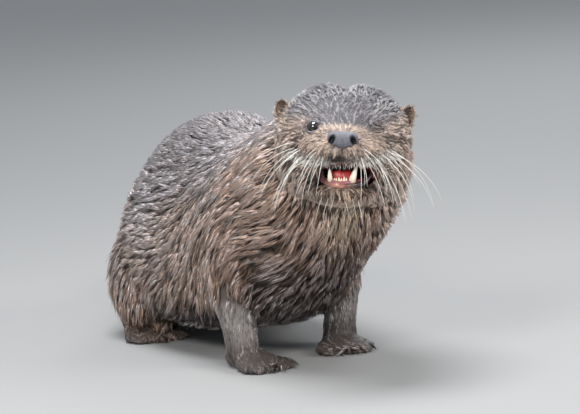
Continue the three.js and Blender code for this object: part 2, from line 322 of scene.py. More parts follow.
body = {
    "trunk": [
        [0, 312, 46, 26, 26, 26, 2, 2], [0, 299, 52, 44, 38, 38, 2, 2.2],
        [0, 268, 62, 64, 58, 43, 2, 2.5], [0, 222, 72, 78, 92, 56, 2, 3.2],
        [0, 175, 80, 82, 113, 65, 2, 3.4], [0, 125, 88, 80, 116, 73, 2, 3.4],
        [0, 80, 97, 77, 108, 76, 2, 3], [0, 40, 110, 74, 94, 79, 2, 2.6], [1, 4, 126, 72, 79, 75, 2, 2.3],
        [4, -32, 144, 71, 70, 70, 2, 2.2], [7, -66, 164, 69, 64, 62, 2, 2.2],
        [7, -98, 183, 61, 54, 52, 2, 2.2], [5, -122, 196, 46, 40, 38, 2, 2],
    ],
    "tail": [
        [0, 282, 56, 30, 32, 30], [0, 312, 42, 31, 30, 34], [6, 350, 31, 28, 26, 32],
        [18, 396, 24, 25, 22, 25], [36, 450, 19, 21, 18, 20], [58, 506, 15, 17, 14, 16],
        [84, 562, 12, 13, 10.5, 12.5], [110, 612, 8.5, 9, 7.5, 9], [124, 638, 5.5, 5, 4.5, 6],
    ],
}

head = {
    "at": (4, -124, 203),
    "turn": -22.4,
    "lift": -7,
    "roll": 6.5,
    "skull": [
        [0, 66, -24, 24, 22, 24, 2, 2], [0, 46, -16, 44, 40, 38, 2.2, 2.3],
        [0, 20, -12, 56, 54, 46, 2.4, 2.8], [0, -6, -11, 56, 53, 43, 2.4, 3],
        [0, -30, -8, 51, 44, 35, 2.3, 2.8], [0, -48, -6, 43.5, 31, 26, 2.1, 2.4],
        [0, -64, -6, 34, 20, 18, 2, 2.2], [0, -78, -7, 26, 13.5, 14.5, 2, 2],
        [0, -86, -7.5, 18, 10, 12, 2, 2], [0, -90, -7.5, 9, 6, 8, 2, 2],
    ],
    "jaw": [
        [0, 8, -40, 38, 8, 18], [0, -22, -42, 31, 6, 15], [0, -44, -42.5, 24, 5, 12.5],
        [0, -60, -43, 17, 5.5, 10], [0, -70, -43.5, 12.5, 5.5, 8], [0, -75, -43.5, 7, 4, 5],
    ],
    "mouth": [
        [5, -104, -30, 27, 8, 8], [5, -74, -30, 21, 8, 8], [5, -52, -31, 21, 8, 7.5],
        [4, -36, -33, 20, 5.5, 6.5], [3, -16, -35, 14, 3, 4],
    ],
    # centre and half size of the whisker pads and of the cheeks at the corners of the mouth
    "pads": [
        ((-17, -68, -9.5), (18.5, 19, 13)), ((17, -68, -9.5), (18.5, 19, 13)),
        ((-28, -52, -30), (12, 15, 10)), ((34, -48, -29), (12, 15, 10)),
    ],
    "ear": {"at": (50, 3, 18), "wide": 7, "thick": 4.5, "tall": 10.5, "turn": 30, "lean": 20},
}

# On the legs, the first number is how far the centre lies inward of the heel.
legs = {
    "sides": {
        "right": {"side": -1, "fore": (49, 16, 0, 17), "hind": (54, 262, 0, -4)},
        "left": {"side": 1, "fore": (54, 16, 34, -12), "hind": (54, 262, 10, 6)},
    },
    "hipHeight": 120,
    "foreleg": [
        [19, 44, 150, 16, 20, 16], [10, 34, 122, 25, 30, 22], [3, 27, 92, 25, 29, 23],
        [0, 21, 66, 20.5, 22, 21], [0, 15, 46, 16.5, 16, 17], [1, 11, 28, 14.5, 14, 15],
        [1, 8, 10, 14.5, 15, 15],
    ],
    "thigh": [
        [20, 244, 104, 20, 26, 26], [11, 234, 80, 32, 44, 42], [4, 222, 54, 36, 56, 50],
        [2, 210, 30, 33, 48, 40], [2, 204, 12, 26, 34, 32],
    ],
    "shank": [
        [-2, 186, 34, 19, 22, 24], [-3, 215, 28, 19, 22, 22], [-2, 244, 22, 17, 20, 18],
        [0, 268, 15, 13, 14, 14],
    ],
}

feet = {
    "fore": {"long": 42, "toe": 20, "radius": 4.8, "spread": 9, "high": 11, "sole": 21},
    "hind": {"long": 70, "toe": 28, "radius": 5.2, "spread": 7, "high": 11, "sole": 24},
    "toes": 5,
    "claw": {"long": 8.5, "radius": 1.6, "droop": 12, "tone": (58, 50, 46)},
}


def turnMatrix(axis, degrees):
    return np.array(Matrix.Rotation(math.radians(degrees), 3, axis))


headTurn = turnMatrix("Z", head["turn"]) @ turnMatrix("X", head["lift"]) @ turnMatrix("Y", head["roll"])
headAt = (np.array(head["at"]) - middle) * mm


def fromHead(points):
    return np.asarray(points) * mm @ headTurn.T + headAt


def toHead(points):
    return (points - headAt) @ headTurn / mm


def toWorld(points):
    return (np.asarray(points) - middle) * mm


def headObject(name, grids):
    return gridsObject(name, [fromHead(grid) for grid in grids])


def legRows(rows, side, foot):
    out, _, behind, _ = foot
    table = fullRows(rows)
    slant = np.clip(1 - table[:, 2] / legs["hipHeight"], 0, 1)
    table[:, 0] = side * (out - table[:, 0])
    table[:, 1] += behind * slant
    return table


def footPieces(shape, side, foot):
    # A pad that widens forward, and five toes fanned out from it, each with its claw.
    out, y, behind, turn = foot
    long, toe, r, high, sole = (shape[k] for k in ("long", "toe", "radius", "high", "sole"))
    pad = [
        [0, 10, high * 0.8, sole * 0.4, high * 0.6, high],
        [0, -2, high * 0.9, sole * 0.58, high, high * 1.1],
        [0, -long * 0.45, high * 0.7, sole * 0.8, high * 0.75, high],
        [0, -long * 0.8, high * 0.5, sole, high * 0.5, high],
        [0, -long - toe * 0.3, high * 0.3, sole * 1.06, high * 0.25, high * 0.6],
        [0, -long - toe * 0.5, high * 0.2, sole * 0.9, 1, high * 0.4],
    ]
    place = turnMatrix("Z", turn)
    at = np.array([side * out, y + behind, 0])
    flesh, claws = [tube(pad, 30, 32) @ place.T + at], []
    path = fullRows(pad)
    path[:, :3] = path[:, :3] @ place.T + at
    for i in range(feet["toes"]):
        across = i - (feet["toes"] - 1) / 2
        reach = toe * (1.15 - abs(across) * 0.12)
        fan = place @ turnMatrix("Z", across * shape["spread"])
        knuckle = np.array([across * sole * 0.4, across * across * 2.2 - long * 0.75, 0]) @ place.T + at
        digit = [
            [0, 4, r, r * 0.9, r * 0.9, r],
            [0, -reach * 0.35, r * 1.05, r * 0.8, r * 0.85, r],
            [0, -reach * 0.7, r * 0.8, r * 0.8, r * 0.8, r],
            [0, -reach * 0.95, r * 0.75, r * 0.85, r * 0.85, r * 0.8],
            [0, -reach * 1.1, r * 0.6, r * 0.5, r * 0.5, r * 0.5],
        ]
        flesh.append(tube(digit, 24, 16) @ fan.T + knuckle)
        claws.append(clawGrid(reach, r) @ fan.T + knuckle)
    return path, flesh, claws


def clawGrid(reach, r):
    # A cone carried along a short arc that droops; its radius shrinks with the square root.
    claw = feet["claw"]
    t = np.linspace(0, 1, 9)
    bend = np.radians(claw["droop"] + 30 * t)
    radius = claw["radius"] * np.sqrt(1 - t) * 0.95 + 0.05
    y = -reach * 1.02 - claw["long"] * t
    z = r * 1.05 - claw["long"] * t * np.tan(bend) * 0.45
    rows = np.stack([0 * t, y, np.maximum(z, 0.6), radius * 0.75, radius, radius], -1)
    return tube(rows, 9, 10)


upward, forward = (0, 0, 1), (0, -1, 0)
# limb, the foot it leads to, and the direction its heights are measured in
limbs = (("foreleg", "fore", forward), ("thigh", "hind", forward), ("shank", "hind", upward))

# part: the rows of its path, and the same direction
parts = {name: (fullRows(rows), upward) for name, rows in body.items()}
fleshGrids = [toWorld(tube(body["trunk"], 90, 96)), toWorld(tube(body["tail"], 90, 48))]
clawGrids = []
for sideName, place in legs["sides"].items():
    side = place["side"]
    for limb, foot, up in limbs:
        rows = legRows(legs[limb], side, place[foot])
        parts[limb + sideName] = (rows, up)
        fleshGrids.append(toWorld(tube(rows, 50, 48, up)))
    for foot in ("fore", "hind"):
        path, flesh, claws = footPieces(feet[foot], side, place[foot])
        parts[foot + "foot" + sideName] = (path, upward)
        fleshGrids += [toWorld(grid) for grid in flesh]
        clawGrids += [toWorld(grid) for grid in claws]


skin = {
    # millimetres
    "voxel": 3.5,
    # centre in the head's or the body's own millimetres, how much finer, and over what distance
    "finerHead": [((0, -66, -14), 1.3, 45)],
    "finerFeet": [
        ((-46, -20, 5), 0.7, 30), ((48, 14, 5), 0.7, 30), ((-54, 205, 5), 0.5, 35), ((54, 215, 5), 0.5, 35),
    ],
    "smoothing": 7,
    # least height above the floor, in metres, before and after the skin sinks below the coat
    "clear": (0.0002, 0.0003),
    # its brightness as a share of the coat's, under short hair, and how much less under long hair: partly
    # the skin's own darker colour, partly painted shade under the hair
    "shade": (0.6, 0.38),
}
finerSpots = [(fromHead(c), amount, far * mm) for c, amount, far in skin["finerHead"]]
finerSpots += [(toWorld(c), amount, far * mm) for c, amount, far in skin["finerFeet"]]


def aboveFloor(points, clear):
    points[:, 2] = np.maximum(points[:, 2], clear)
    return points


def stretchShift(points):
    # Pushes every point away from each spot by amount times far times tanh of distance over far.
    shift = np.zeros_like(points)
    for centre, amount, far in finerSpots:
        away = points - centre
        distance = np.linalg.norm(away, axis=1, keepdims=True) + 1e-9
        shift += away / distance * amount * far * np.tanh(distance / far)
    return shift


def unstretch(points, rounds=60):
    # Undoes the push by walking back a share of the leftover until none is left.
    strongest = 1 + sum(amount for _, amount, _ in finerSpots) * 0.6
    found = points.copy()
    for _ in range(rounds):
        found += (points - found - stretchShift(found)) / strongest
    return found


def applied(piece, kind, **settings):
    # The piece's mesh with one modifier worked into it.
    change = piece.modifiers.new("change", kind)
    for name, value in settings.items():
        setattr(change, name, value)
    reach = bpy.context.evaluated_depsgraph_get()
    mesh = bpy.data.meshes.new_from_object(piece.evaluated_get(reach))
    old = piece.data
    piece.modifiers.clear()
    piece.data = mesh
    bpy.data.meshes.remove(old)


def remove(piece):
    mesh = piece.data
    bpy.data.objects.remove(piece)
    bpy.data.meshes.remove(mesh)


def joined(name, pieces):
    shape = bmesh.new()
    for piece in pieces:
        shape.from_mesh(piece.data)
        remove(piece)
    mesh = bpy.data.meshes.new(name)
    shape.to_mesh(mesh)
    shape.free()
    return linked(name, mesh)


def relax(values, mesh, rounds, steps=(0.5,)):
    # Each value moves part of the way to the mean of its neighbours, over and over.
    edges = readOut(mesh.edges, "vertices", 2)
    count = np.bincount(edges.ravel(), minlength=len(values))[:, None]
    for r in range(rounds):
        total = np.stack([
            sum(np.bincount(edges[:, a], column[edges[:, 1 - a]], len(values)) for a in (0, 1))
            for column in values.T
        ], -1)
        values = values + steps[r % len(steps)] * (total / np.maximum(count, 1) - values)
    return values


def refine(mesh, centre, radius):
    # Splits every edge near a point in two.
    near = Vector(centre)

    def split(shape):
        chosen = [e for e in shape.edges if all((v.co - near).length < radius for v in e.verts)]
        bmesh.ops.subdivide_edges(shape, edges=chosen, cuts=1, use_grid_fill=True, smooth=0)

    reshape(mesh, split)


def makeSkin():
    # The overlapping shapes of the body become one surface, finer at the muzzle and at the feet.
    mouthTool = headObject("mouth", [tube(head["mouth"], 40, 48)])
    faceGrids = [tube(head["skull"], 90, 96)]
    faceGrids += [ball(30, 40, centre, half) for centre, half in head["pads"]]
    pieces = [headObject("face", [grid]) for grid in faceGrids]
    for piece in pieces:
        applied(piece, "BOOLEAN", operation="DIFFERENCE", object=mouthTool, solver="EXACT")
    remove(mouthTool)
    pieces += [headObject("jaw", [tube(head["jaw"], 50, 48)]), gridsObject("flesh", fleshGrids)]
    result = joined("skin", pieces)
    points = pointsOf(result.data)
    movePoints(result.data, points + stretchShift(points))
    applied(result, "REMESH", mode="VOXEL", voxel_size=skin["voxel"] * mm)
    points = unstretch(pointsOf(result.data))
    points = relax(points, result.data, skin["smoothing"] * 2, (0.55, -0.57))
    movePoints(result.data, aboveFloor(points, skin["clear"][0]))
    return result


eyes = {
    # how far the lids stand open, how far they are drawn onto the ball, their rim, and the hair around
    "right": {
        "side": -1, "at": (-23.2, -53.2, 6.8),
        "above": 3.9, "below": 3.5, "drawn": 1.0, "rim": 0.8, "hair": 2.6,
    },
    "left": {
        "side": 1, "at": (24.4, -49.4, 10.4),
        "above": 0.9, "below": 0.9, "drawn": 0.75, "rim": 0.0, "hair": 5.5,
    },
    "radius": 6.4,
    "gaze": (0.36, -0.92, 0.12),
    "halfWidth": 4.8,
    "tilt": 14,
    "lid": 0.7,
    # height, distance from the middle and width of the folds round the lids, and where the lids fade out
    "folds": ((0.55, 6.6, 0.7), (-0.5, 8.2, 0.8)),
    "fades": (5.4, 10),
    "socket": 12.0,
    "around": 14,
    "pupil": (8, 7, 8),
    "iris": (40, 27, 21),
    # the iris begins and ends at these angles from the gaze
    "ring": ((0.42, 0.5), (0.85, 0.95)),
}
bothEyes = (eyes["right"], eyes["left"])


def eyeAxes(eye):
    # The gaze, and across and up beside it, turned so that the inner corner sits a little higher.
    side, t = eye["side"], math.radians(eyes["tilt"])
    gaze = unit(np.array(eyes["gaze"]) * (side, 1, 1))
    level = unit(np.cross((0, 0, 1), gaze))
    above = np.cross(gaze, level)
    across = level * math.cos(t) - side * above * math.sin(t)
    return np.array(eye["at"], float), across, np.cross(gaze, across), gaze


def lidPlace(points, eye):
    # How far from the lids' opening a point lies (1 on its edge), and its place in the eye's own axes.
    centre, *axes = eyeAxes(eye)
    a, b, d = ((points - centre) @ axis for axis in axes)
    narrowing = np.sqrt(np.maximum(1 - (a / eyes["halfWidth"] / 1.15) ** 2, 0.02))
    height = np.where(b > 0, eye["above"], eye["below"]) * narrowing
    return np.maximum(np.abs(b) / height, np.abs(a) / eyes["halfWidth"]), a, b, d


def nearEye(local, eye):
    return bump(local, eye["at"], eyes["around"])


def shapeLids(points):
    # Lids lie on the eyeball like a thicker ball, and the skin inside their opening drops behind it.
    # The folds round them are bells across the distance from the middle.
    local = toHead(points)
    for eye in bothEyes:
        q, a, b, d = lidPlace(local, eye)
        away = np.sqrt(a * a + b * b)
        near = (d > -4) & (away < eyes["socket"])
        radius = eyes["radius"] + 0.2 + eyes["lid"] * ramp(q, 1.0, 1.35)
        lid = np.maximum(np.sqrt(np.maximum(radius ** 2 - away ** 2, 0.3)), 0.5)
        fold = sum(height * bell(away - at, width) for height, at, width in eyes["folds"])
        wanted = np.where(q < 1, lid - 3.5 * ramp(1 - q, 0, 0.25), lid - fold)
        share = eye["drawn"] * (1 - ramp(away, *eyes["fades"]))
        move = np.where(near, share * (wanted - d), 0)
        local = local + move[:, None] * eyeAxes(eye)[3]
    return fromHead(local)


faceForms = {
    # name: centre, radius, and how far it moves outward (a right-hand twin is made of each)
    "brow": ((24, -50, 20), (13, 10, 5), 1.3),
    "cheek": ((44, -28, -12), (16, 18, 16), 1.0),
    "underEye": ((28, -62, 0), (9, 10, 4), -0.8),
    "temple": ((40, -38, 14), (10, 12, 8), -1.2),
    "bridge": ((9, -74, 8), (6, 12, 5), -0.5),
    "crown": ((22, 8, 38), (16, 22, 14), 1.2),
    "crownNotch": ((-2, 8, 40), (4, 30, 12), -2.4),
    "lipFringe": ((12, -80, -20), (8, 10, 5), 0.8),
    "nostrilBed": ((8, -90, -2), (5, 9, 6), -4.5),
    # on the middle line, without a twin
    "philtrum": ((0, -90, -15), (1.6, 9, 7), -1.0),
    "padGroove": ((0, -84, -20), (3.0, 9, 5), -0.8),
}


def shapeFace(mesh):
    points, normals = pointsOf(mesh), pointsOf(mesh, "normal")
    local = toHead(points)
    move = np.zeros(len(points))
    for centre, radius, amount in faceForms.values():
        move += amount * (twoBumps if centre[0] else bump)(local, centre, radius)
    movePoints(mesh, points + normals * move[:, None] * mm)


def earGrid(side):
    # A cup: rings shrink from the rim to the middle of the back, and again to the middle of the hollow.
    ear = head["ear"]
    v = np.linspace(0.02, 0.98, 40)[:, None]
    u = fullTurn(48)
    out = np.sin(np.pi * v)
    inner = np.clip((v - 0.5) * 2, 0, 1)
    fold = 0.55 * ramp(inner, 0.1, 0.75) - 0.45 * bell(inner - 0.1, 0.12)
    deep = np.where(v < 0.5, np.cos(np.pi * v), fold) + 0 * u
    across, rise = ear["wide"] * out * np.cos(u), ear["tall"] * out * np.sin(u)
    shape = np.stack([across, ear["thick"] * deep, rise], -1)
    place = turnMatrix("Z", side * ear["turn"]) @ turnMatrix("Y", side * ear["lean"])
    x, y, z = ear["at"]
    return shape @ place.T + (side * x, y, z)


def earShare(local):
    x, y, z = head["ear"]["at"]
    return twoBumps(local, (x, y, z + 2), (11, 9, 13))


def sampledParts(shares):
    # Every path as a row of rings: centre, ahead, side, top and half sizes, in the shared frame.
    found = {}
    for name, (rows, up) in parts.items():
        centre, *axes, half = pathFrame(rows, shares, up)
        found[name] = (toWorld(centre), *axes, half * mm)
    for name in ("skull", "jaw"):
        centre, *axes, half = pathFrame(fullRows(head[name]), shares, upward)
        found[name] = (fromHead(centre), *(v @ headTurn.T for v in axes), half * mm)
    return found


ringShares = np.linspace(0, 1, 80)
samples = sampledParts(ringShares)


def locate(points):
    # The part whose ring a point lies deepest in, and on it the share of the way along and the angle round.
    best = np.full(len(points), np.inf)
    part, share, angle = np.zeros(len(points), int), np.zeros(len(points)), np.zeros(len(points))
    ahead = np.zeros((len(points), 3))
    for number, (centre, along, side, top, half) in enumerate(samples.values()):
        gap = (points ** 2).sum(1)[:, None] - 2 * points @ centre.T + (centre ** 2).sum(1)[None]
        near = gap.argmin(1)
        v = points - centre[near]
        x, z = (v * side[near]).sum(1), (v * top[near]).sum(1)
        beyond = (v * along[near]).sum(1) / half[near, 0]
        deep = np.where(z > 0, half[near, 1], half[near, 2])
        fill = (x / half[near, 0]) ** 2 + (z / deep) ** 2 + beyond ** 2
        inside = fill < best
        best[inside] = fill[inside]
        part[inside] = number
        share[inside] = near[inside] / (len(ringShares) - 1)
        angle[inside] = np.arctan2(z, x)[inside] / (2 * np.pi) + 0.5
        ahead[inside] = along[near[inside]]
    return part, share, angle, ahead


def partTest(part):
    # A test for the points on the parts whose names start with any of the words given.
    def on(*starts):
        return np.isin(part, [n for n, name in enumerate(samples) if name.startswith(starts)])
    return on


def color(red, green, blue):
    # Screen values of 0 to 255 turned into light.
    c = np.array([red, green, blue]) / 255
    return np.where(c < 0.04045, c / 12.92, ((c + 0.055) / 1.055) ** 2.4)


markings = {
    # pale grey of the upward-facing fur: partly the coat's own grey, partly painted sky reflection on wet
    # hair
    "back": (150, 141, 140),
    "flank": (146, 124, 109),
    # darker brown of fur that faces down or lies low: partly the coat's own colour, partly painted shade
    "belly": (108, 83, 65),
    # painted shade: near black under the trunk and between the forelegs
    "paintedUnderShade": (66, 50, 41),
    "neck": (154, 127, 109),
    # grey of the crown and forehead: partly the coat's own grey, partly painted sky sheen on wet hair
    "crown": (120, 115, 116),
    "forehead": (112, 107, 109),
    "muzzle": (192, 170, 155),
    "muzzleBand": (192, 170, 156),
    "cheek": (176, 154, 139),
    "earLine": (214, 198, 176),
    "lip": (255, 248, 238),
    "throat": (226, 204, 178),
    "chin": (158, 132, 112),
    "leg": (154, 146, 142),
    "foot": (84, 74, 69),
    "earRim": (176, 152, 134),
    "earHollow": (100, 84, 75),
    "eyeRim": (48, 48, 54),
    "eyelid": (150, 156, 170),
    "mouth": (160, 64, 62),
    # near black: the wet bare skin of the upper lip, and painted shade deep in the open mouth
    "wetLipAndShade": (26, 22, 22),
    "tail": (118, 106, 98),
}

# across and height of the upper lip's edge, from right to left
lipLine = np.array([
    [-46, -16], [-34, -19.5], [-20, -21.5], [-7, -23.5], [8, -22.5], [20, -20.5], [38, -14],
])


def lipHeight(across):
    return np.interp(across, *lipLine.T)


def laidOver(start, layers):
    # Each layer is a value and a soft share, laid over what is there.
    for value, share in layers:
        start = mix(start, np.array(value), np.clip(share, 0, 1)[:, None])
    return start


def painted(start, layers):
    return laidOver(start, [(color(*markings[name]) * light, share) for name, share, light in layers])


def paint(points, on, normals, local):
    # Colours melt into each other: each marking is laid over the last with a soft share.
    x, y, z = local.T
    wide, low, front, rise = np.abs(x), -points[:, 2], -points[:, 1], normals[:, 2]
    blur = ripple(points, 0.05, 3) * 0.25
    neckward = ramp(front, 0.16, 0.26)
    # where painted shade is laid low between the forelegs
    shadeBetweenLegs = ramp(front, 0.1, 0.16) * ramp(0.06 - np.abs(points[:, 0] + 0.019), 0, 0.02)
    nearFoot = on("foreleg", "shank", "forefoot", "hindfoot")
    onHead = on("skull", "jaw") * ramp(-y, -34, 0)
    parting = bell(wide - 52 + 0.1 * z, 2.2) * ramp(24 - z, 0, 10)
    edge, arch = z - lipHeight(x), z - 8.5 + 0.006 * x ** 2
    layers = [
        # Upward-facing fur turns pale grey: partly the coat's own grey, partly painted sky reflection.
        ("back", ramp(rise + blur, -0.1, 0.6)),
        # The belly layers darken fur that faces down or lies low: partly the coat's own colour, partly
        # painted shade.
        ("belly", ramp(-rise + blur, 0.2, 0.8) * 0.8),
        ("tail", on("tail") * 0.7),
        ("belly", on("trunk", "thigh") * ramp(low, -0.13, -0.03) * 0.75),
        ("neck", neckward * ramp(0.95 - rise + blur, 0, 0.6)),
        ("belly", neckward * ramp(-rise + blur, -0.1, 0.6) * ramp(low, -0.15, -0.1)),
        # Painted shade: near black on the low, downward-facing trunk and low between the forelegs.
        ("paintedUnderShade", on("trunk") * ramp(low, -0.066, -0.032) * ramp(-rise, -0.3, 0.4)),
        ("paintedUnderShade", on("trunk") * shadeBetweenLegs * ramp(low, -0.112, -0.072) * 0.85),
        ("cheek", neckward * twoBumps(local, (50, 30, -16), (26, 26, 40)) * ramp(0.95 - rise, 0, 0.5)),
        ("leg", on("foreleg") * ramp(low, -0.072, -0.05)),
        ("foot", on("shank") * 0.6),
        ("leg", on("forefoot", "hindfoot") * 0.8),
        ("foot", nearFoot * ramp(low, -0.034, -0.014) * 0.9),
        ("cheek", onHead),
        # The crown and forehead turn grey: partly the coat's own grey, partly painted sky sheen.
        ("crown", onHead * ramp(z + blur * 14 - 0.05 * wide, 8, 20)),
        ("forehead", onHead * ramp(-y, 18, 42) * ramp(z, 3, 10) * ramp(34 - wide, 0, 14)),
        ("muzzle", onHead * ramp(-y, 50, 62) * ramp(7 - z, 0, 5)),
    ]
    layers += [
        ("forehead", onHead * bump(local, np.array(eye["at"]) - (0, 0, 2), (10, 14, 8)) * 0.9)
        for eye in bothEyes
    ]
    layers += [
        ("muzzleBand", onHead * bell(arch, 2.2) * ramp(-y, 58, 70) * ramp(24 - wide, 0, 8)),
        ("chin", onHead * ramp(-z, 36, 42) * ramp(-y, 30, 50)),
        ("throat", bump(local, (5, -20, -66), (13, 50, 17)) * ramp(-y, -45, -15) * 1.5),
        ("earLine", parting * ramp(-y, 0, 8) * ramp(y, -26, -14) * 0.6),
        ("lip", onHead * bell(edge - 1.2, 3.3) * ramp(-y, 36, 48) * ramp(wide, 2, 6) * 1.5),
        # the upper lip's own wet black skin
        ("wetLipAndShade", onHead * bump(local, (-4, -88, -17.5), (8, 9, 2.8)) * 1.7),
        ("wetLipAndShade", onHead * bump(local, (0, -90, -11), (2.0, 9, 5)) * 0.9),
        ("earRim", ramp(earShare(local), 0.3, 0.5)),
        ("earHollow", ramp(earShare(local), 0.55, 0.8) * ramp(-normals @ headTurn[:, 1], 0.35, 0.7)),
    ]
    return painted(color(*markings["flank"]), [(*layer, 1) for layer in layers])


def mouthFill(local):
    # Below 1 inside the open mouth's own shape, measured on its rings.
    centre, _, _, _, half = pathFrame(fullRows(head["mouth"]), ringShares, upward)
    near = np.abs(local[:, 1][:, None] - centre[:, 1][None]).argmin(1)
    v = local - centre[near]
    deep = np.where(v[:, 2] > 0, half[near, 1], half[near, 2])
    fill = np.sqrt((v[:, 0] / half[near, 0]) ** 2 + (v[:, 2] / deep) ** 2)
    return np.where((local[:, 1] < -14) & (local[:, 1] > -96), fill, 9.0)


nose = {
    "at": (0, -85.8, -1.2),
    # half the width, how far it stands out and its height above the middle
    "half": (12.3, 6.4, 6.2),
    "below": 1.4,
    "narrow": 0.62,
    # squareness of its outline above and below, and flatness of its front
    "square": (3.4, 2.2),
    "flat": 0.55,
    "nostril": (8.6, -1.2),
    "nostrilHalf": (2.3, 3.5),
    "deep": 5.0,
    # the pad's tone, darker towards its bottom as painted shade; the nostril pits near black as painted
    # shade
    "tone": (98, 99, 106),
    "inside": (8, 7, 8),
}

coat = {
    "seed": 11,
    # part: length of the hair and depth of the coat, in millimetres
    "sizes": {
        "trunk": (15, 4.2), "tail": (11, 3.0), "foreleg": (17, 3.6), "thigh": (16, 4.0),
        "shank": (3.4, 0.8), "forefoot": (1.9, 0.3), "hindfoot": (2.0, 0.35),
        "skull": (8, 2.2), "jaw": (5, 1.2),
    },
    # piece: slot, number of clumps, hairs in each, and width of the locks they gather into
    "pieces": {
        "coat_head_right": ("head_coat", 6500, 5, 1.7),
        "coat_head_left": ("head_coat", 6500, 5, 1.7),
        "coat_neck": ("body_coat", 3650, 9, 2.1),
        "coat_shoulder": ("body_coat", 3650, 9, 2.2),
        "coat_flank_right": ("body_coat", 3000, 9, 2.1),
        "coat_flank_left": ("body_coat", 2000, 9, 2.3),
        "coat_rump": ("body_coat", 2500, 9, 2.3),
        "coat_belly": ("body_coat", 1500, 8, 2.8),
        "coat_tail": ("body_coat", 2000, 8, 2.4),
        "coat_legs": ("leg_coat", 3900, 6, 2.4),
    },
    # width of a hair in millimetres, and how much it widens with the length
    "width": (0.24, 0.032),
    # how far a clump reaches sideways, a fixed part and a share of its length; how much it narrows
    # towards the tips; and how far single hairs stray from it
    "spread": (0.35, 0.11),
    "converge": 0.92,
    "stray": 0.035,
    # least and most length, width and height, as shares of the usual
    "lengths": (0.65, 1.2),
    "widths": (0.7, 1.3),
    "heights": (0.8, 1.15),
    # how far a clump swings from the lie by itself and with its neighbours, and how far those reach
    "swing": (0.08, 0.2, 0.016),
    # spread of the brightness between clumps and between hairs
    "uneven": (0.22, 0.2),
    # each hair darker at the root as painted shade among the hairs, brighter at the tip as a painted
    # highlight
    "rootShade": 0.1,
    "tipShade": 1.8,
    "brightest": 0.85,
    # share of the hairs that shine, how far they and the raised locks turn towards the shine's colour,
    # and that colour: a painted highlight, the sky reflected in wet hair
    "shining": (0.2, 0.42, 0.07, (0.66, 0.69, 0.74)),
    # how far clumps draw together into locks, how much higher and brighter the locks are (a painted
    # highlight), and how much darker the gaps between them (painted shade)
    "locks": (1.0, 0.3, 0.6, 1.0),
    # share of the clumps that lie deeper and darker, how high they rise, and how bright they are; their
    # darkness is painted shade
    "sunken": (0.15, 0.5, 0.35),
}


def hairSizes(points, on, local, normals):
    # Length and depth: each part's own, then what its regions lay over them.
    x, y, z = local.T
    wide, low, back, rise = np.abs(x), -points[:, 2], points[:, 1], normals[:, 2]
    onHead = on("skull", "jaw")
    neckward = on("trunk") * ramp(-back, 0.15, 0.23)
    lower = on("trunk", "thigh") * ramp(low, -0.055, -0.03)
    edge = z - lipHeight(x)
    layers = [(size, on(name) * 1.0) for name, size in coat["sizes"].items()]
    layers += [
        ((23, 4.6), neckward * ramp(0.85 - rise, 0, 0.5)),
        ((12, 3.0), on("trunk") * ramp(-rise, 0.3, 0.9)),
        ((18, 3.6), lower * ramp(back, -0.2, -0.14) * ramp(rise, -0.9, -0.4)),
        ((3.2, 0.6), on("foreleg") * ramp(low, -0.070, -0.05)),
        ((6, 1.5), on("thigh") * ramp(low, -0.042, -0.014)),
        ((7, 1.6), on("tail") * ramp(back, 0.28, 0.42)),
        ((14, 3.2), onHead * ramp(y, -40, 0) * ramp(8 - z, 0, 16)),
        ((13, 2.4), onHead * ramp(-z, 36, 46) * ramp(y, -66, -50)),
        ((3.0, 0.8), onHead * ramp(-y, 16, 36) * ramp(z, 2, 8)),
        ((9, 1.8), onHead * ramp(-z, 43, 50) * ramp(-y, 60, 68)),
        ((2.3, 0.7), onHead * ramp(-y, 54, 64) * ramp(z, -30, -26)),
        ((6.0, 0.8), onHead * bell(edge - 1.5, 2.6) * ramp(-y, 34, 46) * ramp(wide, 8, 13)),
    ]
    for eye in bothEyes:
        around = np.linalg.norm(local - eye["at"], axis=1)
        layers.append(((eye["hair"], eye["hair"] * 0.2 - 0.5), 1 - ramp(around, 8.5, 13)))
    around = np.linalg.norm((local - nose["at"]) * (1, 0.6, 1), axis=1)
    layers += [((2.2, 0.2), 1 - ramp(around, 13, 18)), ((3.0, 0.3), ramp(earShare(local), 0.4, 0.65))]
    return laidOver(np.zeros((len(points), 2)), layers)


def lieOf(points, on, ahead, normals, local):
    # Along the body towards the tail, down the legs and the lower flanks, out from the nose on the face.
    y, z = points[:, 1], points[:, 2]
    trunk, thigh, foreleg = on("trunk"), on("thigh"), on("foreleg")
    lie = np.where(on("trunk", "skull", "jaw")[:, None], -ahead, ahead)
    flank = 1 - np.abs(normals[:, 2])
    shoulders = [np.array([side * 0.07 - 0.019, -0.185, 0.075]) for side in (-1, 1)]
    shoulder = sum(bump(points, place, (0.05, 0.055, 0.06)) for place in shoulders)
    front = ramp(-y, 0.15, 0.24) * (1 - ramp(-local[:, 1], -20, 10))
    breast = ramp(-normals[:, 1] - 0.7 * np.abs(normals[:, 0]), 0.0, 0.6)
    drop = trunk * flank * (0.05 + 1.1 * ramp(-z, -0.085, -0.04))
    drop = drop + 1.9 * shoulder * (trunk | foreleg) + front * (1.3 * breast - 0.15 * flank)
    drop = drop + 0.5 * thigh + 0.9 * thigh * ramp(-z, -0.06, -0.03)
    across = points[:, 0] + 0.013
    outwards = 0.7 * front * np.sign(across) * ramp(np.abs(across), 0, 0.03)
    lie = lie + np.column_stack([outwards, 0.6 * thigh + 0.25 * foreleg, -drop])
    onHead = on("skull", "jaw") * ramp(-local[:, 1], -40, -6)
    under = ramp(-local[:, 2], 34, 46)
    hang = np.stack([0 * y, 0.5 * under, -0.5 * (ramp(6 - local[:, 2], 0, 16) + under)], -1)
    fromNose = unit(local - np.array([0, -92, -2]))
    return mix(lie, (fromNose + hang) @ headTurn.T, onHead[:, None])


